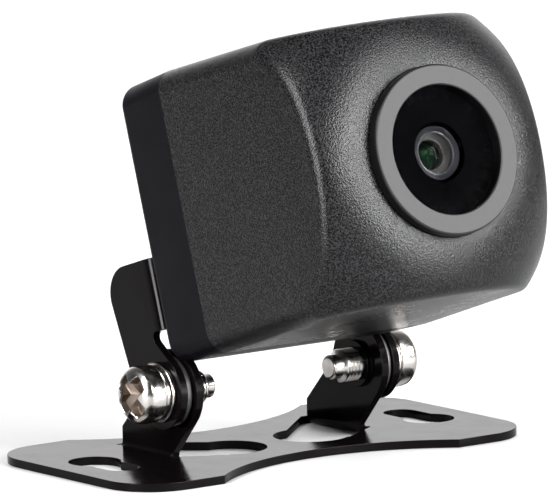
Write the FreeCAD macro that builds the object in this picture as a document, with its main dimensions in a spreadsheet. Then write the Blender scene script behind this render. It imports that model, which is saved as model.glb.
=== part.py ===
import FreeCAD, Part
import math
import operator
import os
import Sketcher

# A surface-mounted reversing camera: a sealed two-shell housing with a wide-angle lens, held by a
# U-shaped sheet bracket that tilts between the two ears of a stamped base plate.
#
# Row frame: origin at the centre of the base plate's underside, +Z up, the lens faces -Y.
# Camera frame: origin on the tilt axis, X along that axis, "forward" along the lens axis.
# Everything on the tilting side is drawn in the camera frame and placed by camera_placement().

DIMENSIONS = {
    # base bracket, stamped from sheet
    "sheet": 1.0,
    "plate_length": 58.0,
    "plate_width": 31.4,
    "plate_corner": 6.5,
    "lobe_edge": 17.1,
    "waist_depth": 6.3,
    "keyhole_across": 23.0,
    "keyhole_offset": 2.0,
    "keyhole_head": 3.1,
    "keyhole_slot": 2.1,
    "keyhole_travel": 5.4,
    "ear_face": 14.05,
    "ear_round": 4.9,
    "ear_slope": 42.0,
    "ear_rear": 10.3,
    "ear_rear_rise": 2.2,
    "bend_outside": 1.3,
    "bend_inside": 0.4,
    "relief": 0.5,
    "window_round": 4.5,
    "window_centre": 6.0,
    "collar_radius": 2.8,
    "collar_length": 0.6,
    # tilt pivot and its two screws
    "pivot_back": -1.41,
    "pivot_height": 8.78,
    "tilt": 17.16,
    "screw_radius": 2.0,
    "screw_clearance": 0.04,
    "screw_tip": 8.7,
    "tip_radius": 1.48,
    "tip_length": 1.3,
    "head_seat": 17.2,
    "head_height": 3.2,
    "head_radius": 3.45,
    "head_side": 1.7,
    "recess_depth": 1.9,
    "recess_width": 1.0,
    "recess_length": 3.9,
    "washer_radius": 3.6,
    "flat_washer": 0.5,
    "spring_washer": 0.65,
    "spring_radius": 3.35,
    "spring_gap": 0.7,
    "play": 0.03,
    "friction_radius": 4.2,
    # camera bracket
    "wing_face": 16.0,
    "wing_round": 4.5,
    "wing_rear": 6.5,
    "wing_top": 15.5,
    "wing_corner": 3.6,
    "wing_slope": 38.0,
    "wing_bend": 2.0,
    "throat_round": 0.7,
    "back_low": 6.9,
    "bracket_screw_across": 6.0,
    # housing
    "housing_width": 33.6,
    "housing_height": 33.6,
    "lens_height": 19.1,
    "rear_face": 3.8,
    "parting": 12.9,
    "front_face": 41.7,
    "dome_flat": 9.0,
    "dome_round": 13.9,
    "crease_round": 1.9,
    "corner_round": 2.6,
    "front_draft": 1.0,
    "cover_taper": 2.2,
    "cover_round": 1.3,
    "wall": 2.2,
    "seal_width": 1.3,
    "seal_height": 1.0,
    "boss_across": 11.9,
    "boss_up": 11.2,
    "boss_radius": 2.4,
    "case_screw_radius": 1.0,
    "case_screw_head": 1.9,
    # window and bezel
    "ring_radius": 10.0,
    "ring_bore": 7.61,
    "ring_front": 43.05,
    "ring_seat": 40.4,
    "ring_edge": 0.25,
    "glass_front": 42.6,
    "glass_thick": 1.2,
    "mask_thick": 0.3,
    "mask_hole": 3.5,
    "window_hole": 5.7,
    # lens
    "barrel_rear": 31.2,
    "barrel_front": 40.95,
    "barrel_thread": 4.0,
    "nose_radius": 3.2,
    "bore_radius": 2.5,
    "lock_ring_radius": 5.5,
    # boards
    "sensor_board_rear": 25.0,
    "power_board_rear": 17.0,
    "board_thick": 1.2,
    "board_across": 13.0,
    "board_up": 12.0,
    "board_notch_across": 8.3,
    "board_notch_up": 7.2,
    "post_across": 10.9,
    "post_radius": 1.9,
    "board_screw_radius": 0.9,
    # cable inlet
    "inlet_above": 7.0,
    "inlet_radius": 3.6,
    "cable_radius": 2.1,
    "gland_tail": 5.5,
}

OPERATIONS = {"+": operator.add, "-": operator.sub, "*": operator.mul, "/": operator.truediv}


class Size:
    """A number worked out from the sheet: its value now, and the expression that gives it."""

    def __init__(self, value, text):
        self.value = value
        self.text = text

    def __add__(self, other):
        return combine(self, "+", other)

    def __radd__(self, other):
        return combine(other, "+", self)

    def __sub__(self, other):
        return combine(self, "-", other)

    def __rsub__(self, other):
        return combine(other, "-", self)

    def __mul__(self, other):
        return combine(self, "*", other)

    def __rmul__(self, other):
        return combine(other, "*", self)

    def __truediv__(self, other):
        return combine(self, "/", other)

    def __neg__(self):
        return combine(0, "-", self)


def as_size(number):
    if isinstance(number, Size):
        return number
    return Size(float(number), f"({float(number)})")


def combine(first, sign, second):
    first, second = as_size(first), as_size(second)
    value = OPERATIONS[sign](first.value, second.value)
    return Size(value, f"({first.text} {sign} {second.text})")


def cosine(angle):
    return Size(math.cos(math.radians(angle.value)), f"cos({angle.text})")


def sine(angle):
    return Size(math.sin(math.radians(angle.value)), f"sin({angle.text})")


def make_sheet(doc):
    """Write every driving dimension to a sheet and return them as Sizes by name."""
    sheet = doc.addObject("Spreadsheet::Sheet", "Dims")
    for row, (name, value) in enumerate(DIMENSIONS.items(), start=1):
        sheet.set(f"A{row}", name)
        sheet.set(f"B{row}", str(value))
        sheet.setAlias(f"B{row}", name)
    doc.recompute()
    return {name: Size(float(sheet.get(name)), f"Dims.{name}") for name in DIMENSIONS}


doc = FreeCAD.newDocument("reversing_camera")
dims = make_sheet(doc)
sheet = dims["sheet"]
play = dims["play"]
subparts = []


# ---- sketches -------------------------------------------------------------------------------

def bind(obj, path, size):
    obj.setExpression(path, as_size(size).text)


def flat(x, y):
    return FreeCAD.Vector(x, y, 0)


def arc_between(start, end, radius):
    """The short arc from start to end: a positive radius turns left, a negative one right."""
    chord = end - start
    half = chord.Length / 2
    left = FreeCAD.Vector(-chord.y, chord.x, 0).normalize()
    rise = math.sqrt(radius * radius - half * half) * math.copysign(1, radius)
    centre = start + chord * 0.5 + left * rise
    first, last = (start, end) if radius > 0 else (end, start)
    circle = Part.Circle(centre, FreeCAD.Vector(0, 0, 1), abs(radius))
    angles = [math.atan2(p.y - centre.y, p.x - centre.x) for p in (first, last)]
    return Part.ArcOfCircle(circle, *angles)


def pin_point(sketch, edge, vertex, x, y):
    """Hold one point of a sketch edge at coordinates that come from the sheet."""
    for kind, size in (("DistanceX", as_size(x)), ("DistanceY", as_size(y))):
        index = sketch.addConstraint(Sketcher.Constraint(kind, edge, vertex, size.value))
        bind(sketch, f"Constraints[{index}]", size)


def set_radius(sketch, edge, radius):
    index = sketch.addConstraint(Sketcher.Constraint("Radius", edge, abs(radius.value)))
    bind(sketch, f"Constraints[{index}]", radius if radius.value > 0 else -radius)


def draw_circle(sketch, x, y, radius):
    x, y, radius = as_size(x), as_size(y), as_size(radius)
    circle = Part.Circle(flat(x.value, y.value), FreeCAD.Vector(0, 0, 1), radius.value)
    edge = sketch.addGeometry(circle, False)
    pin_point(sketch, edge, 3, x, y)
    set_radius(sketch, edge, radius)


def draw_outline(sketch, corners):
    """Draw a closed outline. A corner is (x, y), or (x, y, radius) where an arc leaves it."""
    points = [flat(as_size(c[0]).value, as_size(c[1]).value) for c in corners]
    edges = []
    for index, corner in enumerate(corners):
        start, end = points[index], points[(index + 1) % len(points)]
        radius = as_size(corner[2]) if len(corner) > 2 else None
        curve = arc_between(start, end, radius.value) if radius else Part.LineSegment(start, end)
        edge = sketch.addGeometry(curve, False)
        turns_right = radius is not None and radius.value < 0
        edges.append((edge, 2 if turns_right else 1, 1 if turns_right else 2, radius))
    for index, (edge, start_vertex, end_vertex, radius) in enumerate(edges):
        following = edges[(index + 1) % len(edges)]
        sketch.addConstraint(
            Sketcher.Constraint("Coincident", edge, end_vertex, following[0], following[1]))
        pin_point(sketch, edge, start_vertex, corners[index][0], corners[index][1])
        if radius:
            set_radius(sketch, edge, radius)


def rectangle(low_x, low_y, high_x, high_y):
    return [(low_x, low_y), (high_x, low_y), (high_x, high_y), (low_x, high_y)]


def make_sketch(body, plane, depth=0, up=0, outlines=(), circles=()):
    """A sketch on one of the body's own planes, moved along its normal and up in the plane."""
    sketch = body.newObject("Sketcher::SketchObject", body.Name + "_sketch")
    role = plane + "_Plane"
    origin_plane = next(f for f in body.Origin.OriginFeatures if f.Role == role)
    sketch.AttachmentSupport = (origin_plane, [""])
    sketch.MapMode = "FlatFace"
    bind(sketch, "AttachmentOffset.Base.z", depth)
    bind(sketch, "AttachmentOffset.Base.y", up)
    for corners in outlines:
        draw_outline(sketch, corners)
    for circle in circles:
        draw_circle(sketch, *circle)
    return sketch


# ---- features -------------------------------------------------------------------------------

def new_body(label):
    body = doc.addObject("PartDesign::Body", label)
    body.Label = label
    return body


def pad(body, length, backwards=False, taper=None, **where):
    """Raise a sketch along its normal, or against it. Along Y the normal is the lens's way."""
    feature = body.newObject("PartDesign::Pad", body.Name + "_pad")
    feature.Profile = make_sketch(body, **where)
    bind(feature, "Length", length)
    feature.Reversed = backwards
    if taper is not None:
        bind(feature, "TaperAngle", taper)
    doc.recompute()
    return feature


def checked_cut(body, feature, before):
    """A cut that points away from the solid removes nothing and shows no error."""
    doc.recompute()
    if not feature.isValid() or feature.Shape.Volume > before - 1e-6:
        raise RuntimeError(f"{body.Label}: {feature.Name} removed nothing")
    return feature


def pocket(body, length, forwards=True, **where):
    """Sink a sketch into the body along its normal, or against it."""
    before = body.Shape.Volume
    feature = body.newObject("PartDesign::Pocket", body.Name + "_pocket")
    feature.Profile = make_sketch(body, **where)
    bind(feature, "Length", length)
    feature.Reversed = forwards
    return checked_cut(body, feature, before)


def revolve(body, **where):
    feature = body.newObject("PartDesign::Revolution", body.Name + "_turn")
    feature.Profile = make_sketch(body, **where)
    feature.ReferenceAxis = (feature.Profile[0], ["H_Axis"])
    feature.Angle = 360
    doc.recompute()
    return feature


def groove(body, **where):
    before = body.Shape.Volume
    feature = body.newObject("PartDesign::Groove", body.Name + "_groove")
    feature.Profile = make_sketch(body, **where)
    feature.ReferenceAxis = (feature.Profile[0], ["H_Axis"])
    feature.Angle = 360
    return checked_cut(body, feature, before)


def soften(body, radius, wanted, kind="Fillet"):
    """Round (or chamfer) the edges of the body's tip that a test picks out."""
    tip = body.Tip
    names = [f"Edge{i}" for i, edge in enumerate(tip.Shape.Edges, start=1) if wanted(edge)]
    feature = body.newObject("PartDesign::" + kind, body.Name + "_" + kind.lower())
    feature.Base = (tip, names)
    bind(feature, "Radius" if kind == "Fillet" else "Size", radius)
    doc.recompute()
    if not names or not feature.isValid():
        raise RuntimeError(f"{body.Label}: {kind} failed on {len(names)} edges")
    return feature


def near(value, size, tolerance=0.01):
    return abs(value - as_size(size).value) < tolerance


def runs_along(edge, direction):
    """Whether a straight edge runs along X, Y or Z."""
    if edge.Curve.TypeId != "Part::GeomLine":
        return False
    return abs(getattr(edge.Curve.Direction, direction)) > 0.999


# ---- whole sub-parts -------------------------------------------------------------------------

def keep(obj, tilts):
    """List an object as a sub-part; one on the tilting side gets the camera's placement."""
    if tilts:
        camera_placement(obj)
    subparts.append(obj)
    return obj


def camera_placement(obj):
    """Put the camera frame on the tilt axis and pitch it up by the tilt angle."""
    obj.Placement = FreeCAD.Placement(FreeCAD.Vector(), FreeCAD.Rotation(FreeCAD.Vector(1, 0, 0), -1))
    bind(obj, "Placement.Base.y", dims["pivot_back"])
    bind(obj, "Placement.Base.z", dims["pivot_height"])
    bind(obj, "Placement.Rotation.Angle", -dims["tilt"])


def turned(label, corners, across=0, up=None):
    """A solid turned about a line parallel to the lens axis; corners are (forward, radius)."""
    body = new_body(label)
    height = dims["lens_height"] if up is None else up
    profile = [(-corner[0], *corner[1:]) for corner in corners]
    revolve(body, plane="YZ", depth=across, up=height, outlines=[profile])
    return body


def tube(label, rear, front, outer, inner, across=0, up=None):
    corners = [(rear, inner), (front, inner), (front, outer), (rear, outer)]
    return turned(label, corners, across, up)


def slab(label, rear, thickness, outlines=(), circles=()):
    """A flat piece square to the lens axis, drawn about that axis."""
    body = new_body(label)
    pad(body, thickness, plane="XZ", depth=rear, up=dims["lens_height"],
        outlines=outlines, circles=circles)
    return body


def group(label, members):
    """Several separate solids that make one node."""
    compound = doc.addObject("Part::Compound", label)
    compound.Label = label
    compound.Links = members
    return compound


def corners_of(across, up):
    return [(sx * across, sy * up) for sx in (1, -1) for sy in (1, -1)]


# ---- base bracket ----------------------------------------------------------------------------

def plate_outline():
    """A plate with four rounded lobes and a shallow arc cut into each long side."""
    end, side = dims["plate_length"] / 2, dims["plate_width"] / 2
    corner, lobe, depth = dims["plate_corner"], dims["lobe_edge"], dims["waist_depth"]
    waist = (lobe * lobe + depth * depth) / (2 * depth)
    return [
        (end, corner - side), (end, side - corner, corner),
        (end - corner, side), (lobe, side, -waist),
        (-lobe, side), (corner - end, side, corner),
        (-end, side - corner), (-end, corner - side, corner),
        (corner - end, -side), (-lobe, -side, -waist),
        (lobe, -side), (end - corner, -side, corner),
    ]


def ear_front():
    """How far behind the pivot the ear's sloping front edge meets the top of the bend."""
    slope, radius = dims["ear_slope"], dims["ear_round"]
    drop = dims["pivot_height"] - dims["bend_outside"] - radius * sine(slope)
    return drop * sine(slope) / cosine(slope) - radius * cosine(slope)


def ear_outline():
    """An ear's outline below its round head, from the plate's underside up, as (y, z)."""
    y, z = dims["pivot_back"], dims["pivot_height"]
    slope, radius, rear = dims["ear_slope"], dims["ear_round"], dims["ear_rear"]
    return [
        (y + ear_front(), 0), (y + rear, 0), (y + rear, sheet + dims["ear_rear_rise"]),
        (y + radius, z), (y, z), (y - radius * cosine(slope), z - radius * sine(slope)),
        (y + ear_front(), dims["bend_outside"]),
    ]


def window_outline(side):
    """The opening that an ear was bent up from, with a relief cut at each end of its bend."""
    y, face, centre = dims["pivot_back"], dims["ear_face"], dims["window_centre"]
    inner, deep, relief = face - sheet, face + dims["bend_inside"] + 0.1, dims["relief"]
    front, rear = y + ear_front(), y + dims["ear_rear"]
    corners = [
        (deep, front), (inner, front), (inner, rear), (deep, rear), (deep, rear + relief),
        (inner - relief, rear + relief), (centre - dims["window_round"] * 0.9, y + 0.9),
        (centre + 2.8, y - dims["window_round"] * 0.86), (deep, front - relief),
    ]
    return [(side * across, along) for across, along in corners]


def base_bracket():
    """The stamped base: plate, two keyholes, two ears bent up from their windows."""
    body = new_body("base_bracket")
    pad(body, sheet, plane="XY", outlines=[plate_outline()])
    across, offset = dims["keyhole_across"], dims["keyhole_offset"]
    slot, travel = dims["keyhole_slot"], dims["keyhole_travel"]
    heads = [(s * across, -s * offset, dims["keyhole_head"]) for s in (1, -1)]
    ends = [(s * across, s * (travel - offset), slot) for s in (1, -1)]
    slots = [rectangle(s * across - slot, -offset if s > 0 else offset - travel,
                       s * across + slot, travel - offset if s > 0 else offset) for s in (1, -1)]
    rounds = [(s * dims["window_centre"], dims["pivot_back"], dims["window_round"]) for s in (1, -1)]
    pocket(body, sheet, plane="XY", circles=heads + rounds)
    pocket(body, sheet, plane="XY", outlines=slots + [window_outline(s) for s in (1, -1)])
    pocket(body, sheet, plane="XY", circles=ends)
    pivot = (dims["pivot_back"], dims["pivot_height"])
    inner = dims["ear_face"] - sheet
    for low in (inner, -dims["ear_face"]):
        pad(body, sheet, plane="YZ", depth=low, outlines=[ear_outline()])
        pad(body, sheet, plane="YZ", depth=low, circles=[(*pivot, dims["ear_round"])])
    soften(body, dims["bend_outside"], lambda e: runs_along(e, "y") and e.Length > 5
           and near(abs(e.CenterOfMass.x), inner) and near(e.CenterOfMass.z, 0))
    soften(body, dims["bend_inside"], lambda e: runs_along(e, "y") and e.Length > 5
           and near(abs(e.CenterOfMass.x), dims["ear_face"]) and near(e.CenterOfMass.z, sheet))
    for low in (inner - dims["collar_length"], -inner):
        pad(body, dims["collar_length"], plane="YZ", depth=low,
            circles=[(*pivot, dims["collar_radius"])])
    pocket(body, 4 * inner, plane="YZ", depth=-2 * inner,
           circles=[(*pivot, dims["screw_radius"] + dims["screw_clearance"])])
    return keep(body, tilts=False)


# ---- pivot screws and washers -------------------------------------------------------------------

def on_pivot(body, side):
    """Stand a body that was drawn about X on the tilt axis, turned round for the left side."""
    body.Placement = FreeCAD.Placement(
        FreeCAD.Vector(), FreeCAD.Rotation(FreeCAD.Vector(0, 0, 1), 0 if side > 0 else 180))
    bind(body, "Placement.Base.y", dims["pivot_back"])
    bind(body, "Placement.Base.z", dims["pivot_height"])


def pivot_screw(name, side):
    """A pan-head machine screw with a dog point and a cross recess."""
    body = new_body(name + "_pivot_screw")
    tip, seat, radius = dims["screw_tip"], dims["head_seat"], dims["screw_radius"]
    point, head, top = dims["tip_radius"], dims["head_radius"], seat + dims["head_height"]
    shoulder = tip + dims["tip_length"]
    crown = head * 0.55
    revolve(body, plane="XY", outlines=[[
        (tip, 0), (tip, point - 0.3), (tip + 0.3, point), (shoulder, point),
        (shoulder + 0.4, radius), (seat, radius), (seat, head),
        (seat + dims["head_side"], head, 2.6), (top, crown), (top, 0),
    ]])
    half, reach = dims["recess_width"] / 2, dims["recess_length"] / 2
    for blade in (rectangle(-reach, -half, reach, half), rectangle(-half, -reach, half, reach)):
        pocket(body, dims["recess_depth"], forwards=False, plane="YZ", depth=top, outlines=[blade])
    on_pivot(body, side)
    return keep(body, tilts=False)


def pivot_washer(label, side, inner_face, thickness, radius, split=False):
    """A washer on the pivot screw; a split one has a slit on its upper side."""
    body = new_body(label)
    hole = dims["screw_radius"] + 2 * dims["screw_clearance"]
    pad(body, thickness, plane="YZ", depth=inner_face, circles=[(0, 0, radius), (0, 0, hole)])
    if split:
        half = dims["spring_gap"] / 2
        slit = rectangle(-half, hole / 2, half, radius + 1)
        pocket(body, thickness, plane="YZ", depth=inner_face, outlines=[slit])
    on_pivot(body, side)
    return body


def pivot_stack(name, side):
    """What sits on one pivot screw: rubber disc, flat washer and spring washer."""
    flat_at = dims["wing_face"] + play
    spring_at = dims["head_seat"] - dims["spring_washer"]
    rubber_at = dims["ear_face"] + play
    rubber_thick = dims["wing_face"] - sheet - rubber_at
    keep(pivot_washer(name + "_flat_washer", side, flat_at, dims["flat_washer"],
                      dims["washer_radius"]), tilts=False)
    keep(pivot_washer(name + "_spring_washer", side, spring_at, dims["spring_washer"],
                      dims["spring_radius"], split=True), tilts=False)
    keep(pivot_washer(name + "_friction_washer", side, rubber_at, rubber_thick,
                      dims["friction_radius"]), tilts=False)


# ---- camera bracket -----------------------------------------------------------------------------

def wing_tangent():
    """Where a wing's front edge leaves its round foot, forward of and above the tilt axis."""
    slope, radius = dims["wing_slope"], dims["wing_round"]
    return radius * cosine(slope), radius * sine(slope)


def wing_throat():
    """How far forward of the tilt axis a wing's front edge meets the back plate's lower edge."""
    slope = dims["wing_slope"]
    forward, up = wing_tangent()
    return forward - (dims["back_low"] - up) * sine(slope) / cosine(slope)


def wing_outline():
    """A wing's outline above its round foot, in the camera frame as (y, z)."""
    radius, top = dims["wing_round"], dims["wing_top"]
    low, face = dims["back_low"], dims["rear_face"]
    forward, up = wing_tangent()
    return [
        (0, 0), (radius, 0), (dims["wing_rear"], top), (-face, top), (-face, low),
        (-wing_throat(), low), (-forward, up),
    ]


def camera_bracket():
    """The U-shaped bracket: two wings on the tilt axis and a back plate behind the housing."""
    body = new_body("camera_bracket")
    face, outer = dims["rear_face"], dims["wing_face"]
    for low in (outer - sheet, -outer):
        pad(body, sheet, plane="YZ", depth=low, outlines=[wing_outline()])
        pad(body, sheet, plane="YZ", depth=low, circles=[(0, 0, dims["wing_round"])])
    back = rectangle(-outer, dims["back_low"], outer, dims["wing_top"])
    pad(body, sheet, plane="XZ", depth=face - sheet, outlines=[back])
    soften(body, dims["wing_bend"], lambda e: runs_along(e, "z") and e.Length > 5
           and near(abs(e.CenterOfMass.x), outer) and near(e.CenterOfMass.y, -face))
    soften(body, dims["wing_bend"] - sheet, lambda e: runs_along(e, "z") and e.Length > 5
           and near(abs(e.CenterOfMass.x), outer - sheet) and near(e.CenterOfMass.y, sheet - face))
    soften(body, dims["wing_corner"], lambda e: runs_along(e, "x")
           and near(e.CenterOfMass.y, dims["wing_rear"]) and near(e.CenterOfMass.z, dims["wing_top"]))
    soften(body, dims["throat_round"], lambda e: runs_along(e, "x")
           and near(e.CenterOfMass.y, -wing_throat()) and near(e.CenterOfMass.z, dims["back_low"]))
    pocket(body, 4 * outer, plane="YZ", depth=-2 * outer,
           circles=[(0, 0, dims["screw_radius"] + 3 * dims["screw_clearance"])])
    height = (dims["back_low"] + dims["wing_top"]) / 2
    holes = [(s * dims["bracket_screw_across"], height, 1.35) for s in (1, -1)]
    pocket(body, 3 * sheet, plane="XZ", depth=face - 2 * sheet, circles=holes)
    return keep(body, tilts=True)


def small_screw(label, seat, reach, radius, head, head_height, across, up):
    """A pan-head screw whose head lies behind its seat and whose shank points forward."""
    rear = seat - head_height
    corners = [
        (rear + 0.5, 0), (rear + 0.5, 0.45), (rear, 0.6), (rear, head * 0.7, 3),
        (rear + head_height * 0.45, head), (seat, head),
        (seat, radius), (seat + reach - 0.3, radius), (seat + reach, radius - 0.3), (seat + reach, 0),
    ]
    return turned(label, corners, across, up)


def bracket_screws():
    height = (dims["back_low"] + dims["wing_top"]) / 2
    seat = dims["rear_face"] - sheet
    screws = [small_screw("bracket_screw", seat, 4.6, 1.25, 2.3, 1.6, s * dims["bracket_screw_across"],
                          height) for s in (1, -1)]
    return keep(group("bracket_screws", screws), tilts=True)


# ---- housing --------------------------------------------------------------------------------------

def case_outline(inset=0):
    """The housing's section about the lens axis, drawn in by an inset."""
    across = dims["housing_width"] / 2 - inset
    up = dims["housing_height"] / 2 - inset
    return rectangle(-across, -up, across, up)


def front_housing():
    """The front shell: a box whose front is domed about the lens axis."""
    body = new_body("front_housing")
    axis = dims["lens_height"]
    front, parting, wall = dims["front_face"], dims["parting"], dims["wall"]
    pad(body, front - parting, taper=-dims["front_draft"], plane="XZ", depth=parting, up=axis,
        outlines=[case_outline()])
    soften(body, dims["corner_round"], lambda e: e.BoundBox.YLength > 4)
    bend = dims["dome_round"]
    groove(body, plane="YZ", up=axis, outlines=[[
        (-front, dims["dome_flat"], -bend), (bend - front, dims["dome_flat"] + bend),
        (bend - front, 40), (-front - 10, 40), (-front - 10, dims["dome_flat"]),
    ]])
    soften(body, dims["crease_round"], lambda e: e.Curve.TypeId != "Part::GeomLine"
           and 24 < -e.CenterOfMass.y < 41 and e.BoundBox.YLength > 0.5)
    pocket(body, 19.5, plane="XZ", depth=parting, up=axis, outlines=[case_outline(wall)])
    pocket(body, 5.9, plane="XZ", depth=parting + 19.5, up=axis, circles=[(0, 0, 13)])
    pocket(body, 10, plane="XZ", depth=parting + 20, up=axis, circles=[(0, 0, dims["window_hole"])])
    pocket(body, 5, plane="XZ", depth=dims["ring_seat"], up=axis,
           circles=[(0, 0, dims["ring_radius"] + 0.05)])
    corners = corners_of(dims["boss_across"], dims["boss_up"])
    pad(body, 20, plane="XZ", depth=parting, up=axis,
        circles=[(x, y, dims["boss_radius"]) for x, y in corners])
    posts = corners_of(dims["post_across"], 0)[::2]
    board_face = dims["sensor_board_rear"] + dims["board_thick"]
    pad(body, 13, plane="XZ", depth=board_face, up=axis,
        circles=[(x, y, dims["post_radius"]) for x, y in posts])
    pocket(body, 9, plane="XZ", depth=parting, up=axis,
           circles=[(x, y, dims["case_screw_radius"]) for x, y in corners])
    pocket(body, 5, plane="XZ", depth=board_face, up=axis,
           circles=[(x, y, dims["board_screw_radius"]) for x, y in posts])
    return keep(body, tilts=True)


def rear_cover():
    """The rear shell: slightly tapered, with screw bosses, a seal ledge and the cable hole."""
    body = new_body("rear_cover")
    axis, rear, parting, wall = dims["lens_height"], dims["rear_face"], dims["parting"], dims["wall"]
    depth = parting - rear
    pad(body, depth, backwards=True, taper=-dims["cover_taper"], plane="XZ", depth=parting, up=axis,
        outlines=[case_outline()])
    soften(body, dims["corner_round"], lambda e: e.BoundBox.YLength > 4)
    soften(body, dims["cover_round"], lambda e: near(-e.CenterOfMass.y, rear) and e.BoundBox.YLength < 0.1)
    seal = wall - dims["seal_width"]
    inner = case_outline(wall)
    pocket(body, depth - wall, forwards=False, plane="XZ", depth=parting, up=axis, outlines=[inner])
    pocket(body, dims["seal_height"], forwards=False, plane="XZ", depth=parting, up=axis,
           outlines=[case_outline(seal)])
    corners = corners_of(dims["boss_across"], dims["boss_up"])
    floor = rear + wall
    pad(body, depth - wall - dims["seal_height"] - 0.1, plane="XZ", depth=floor, up=axis,
        circles=[(x, y, dims["boss_radius"] + 0.5) for x, y in corners])
    pocket(body, 2.4, plane="XZ", depth=rear, up=axis,
           circles=[(x, y, dims["case_screw_head"] + 0.2) for x, y in corners])
    pocket(body, depth, plane="XZ", depth=rear, up=axis,
           circles=[(x, y, dims["case_screw_radius"] + 0.1) for x, y in corners])
    pocket(body, depth, plane="XZ", depth=rear, up=axis,
           circles=[(0, dims["inlet_above"], dims["inlet_radius"])])
    height = (dims["back_low"] + dims["wing_top"]) / 2
    holes = [(s * dims["bracket_screw_across"], height) for s in (1, -1)]
    pad(body, 5, plane="XZ", depth=floor, circles=[(x, y, 2.6) for x, y in holes])
    pocket(body, 5.2, plane="XZ", depth=rear, circles=[(x, y, 1.25) for x, y in holes])
    return keep(body, tilts=True)


def housing_seal():
    """The flat rubber frame between the two shells."""
    parting, wall = dims["parting"], dims["wall"]
    body = slab("housing_seal", parting - dims["seal_height"], dims["seal_height"],
                outlines=[case_outline(wall - dims["seal_width"] + 0.05), case_outline(wall)])
    return keep(body, tilts=True)


def housing_screws():
    """Four long screws from behind, each with a sealing ring under its head."""
    seat = dims["rear_face"] + 2.4
    axis = dims["lens_height"]
    radius, head = dims["case_screw_radius"], dims["case_screw_head"]
    screws, seals = [], []
    for x, y in corners_of(dims["boss_across"], dims["boss_up"]):
        screws.append(small_screw("housing_screw", seat - 0.5, 14, radius, head, 1.3, x, axis + y))
        seals.append(tube("screw_seal", seat - 0.5, seat, head - 0.1, radius + 0.02, x, axis + y))
    keep(group("housing_screws", screws), tilts=True)
    keep(group("screw_seals", seals), tilts=True)


# ---- window and bezel -------------------------------------------------------------------------------

def window():
    """The bezel ring, the clear window, its light mask and the seal behind them."""
    seat, front, edge = dims["ring_seat"], dims["ring_front"], dims["ring_edge"]
    outer, bore = dims["ring_radius"], dims["ring_bore"]
    ring = turned("lens_ring", [
        (seat, bore), (front - edge / 2, bore), (front, bore + edge / 2), (front, outer - edge),
        (front - edge, outer), (seat, outer),
    ])
    glass_rear = dims["glass_front"] - dims["glass_thick"]
    glass_radius = bore - 0.03
    mask_rear = glass_rear - dims["mask_thick"]
    glass = tube("cover_glass", glass_rear, dims["glass_front"], glass_radius, 0)
    mask = tube("light_mask", mask_rear, glass_rear, glass_radius, dims["mask_hole"])
    seal = tube("window_seal", seat, mask_rear, glass_radius, glass_radius - 1.2)
    for body in (ring, glass, mask, seal):
        keep(body, tilts=True)


# ---- lens ---------------------------------------------------------------------------------------------

def lens_barrel():
    """The threaded barrel with its narrow nose, bored for a stack of four glasses."""
    rear, front, thread = dims["barrel_rear"], dims["barrel_front"], dims["barrel_thread"]
    nose, bore = dims["nose_radius"], dims["bore_radius"]
    body = turned("lens_barrel", [
        (rear, bore - 0.7), (rear + 1.2, bore - 0.7), (rear + 1.2, bore), (front - 0.6, bore),
        (front - 0.6, bore + 0.15), (front - 0.25, bore + 0.15), (front, bore + 0.25),
        (front, nose - 0.12), (front - 0.12, nose), (front - 2.1, nose), (front - 3, thread - 0.3),
        (front - 3.3, thread), (rear + 0.4, thread), (rear, thread - 0.4),
    ])
    return keep(body, tilts=True)


def lens_stack():
    """Glasses, spacers, stop and retaining ring, from the nose back to the sensor."""
    front, rear = dims["barrel_front"], dims["barrel_rear"] + 1.2
    edge = dims["bore_radius"]
    first = front - 0.6
    keep(tube("lens_retaining_ring", first, first + 0.3, edge + 0.13, edge - 0.1), tilts=True)
    keep(turned("front_lens", [
        (first - 1.1, 0), (first - 0.4, edge * 0.66), (first - 1.1, edge * 0.8), (first - 1.1, edge),
        (first, edge), (first, edge * 0.9), (first + 0.55, 0),
    ]), tilts=True)
    second, stop = first - 1.7, first - 3.1
    keep(turned("second_lens", [
        (second - 1.2, 0), (second - 1.2, edge), (second, edge), (second, edge * 0.8),
        (second - 0.5, 0),
    ]), tilts=True)
    keep(tube("aperture_stop", stop, stop + 0.2, edge, 0.75), tilts=True)
    third = stop - 2.3
    keep(turned("third_lens", [
        (third, 0), (third + 0.4, edge * 0.8), (third + 0.4, edge), (stop, edge),
        (stop, edge * 0.8), (stop - 0.3, 0),
    ]), tilts=True)
    keep(turned("rear_lens", [
        (rear, 0), (rear, edge), (rear + 1.0, edge), (rear + 1.0, edge * 0.75), (rear + 1.5, 0),
    ]), tilts=True)
    spacers = [tube("spacer", second, first - 1.1, edge, edge - 0.85),
               tube("spacer", rear + 1.0, third + 0.4, edge, edge - 0.45)]
    keep(group("lens_spacers", spacers), tilts=True)


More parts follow.
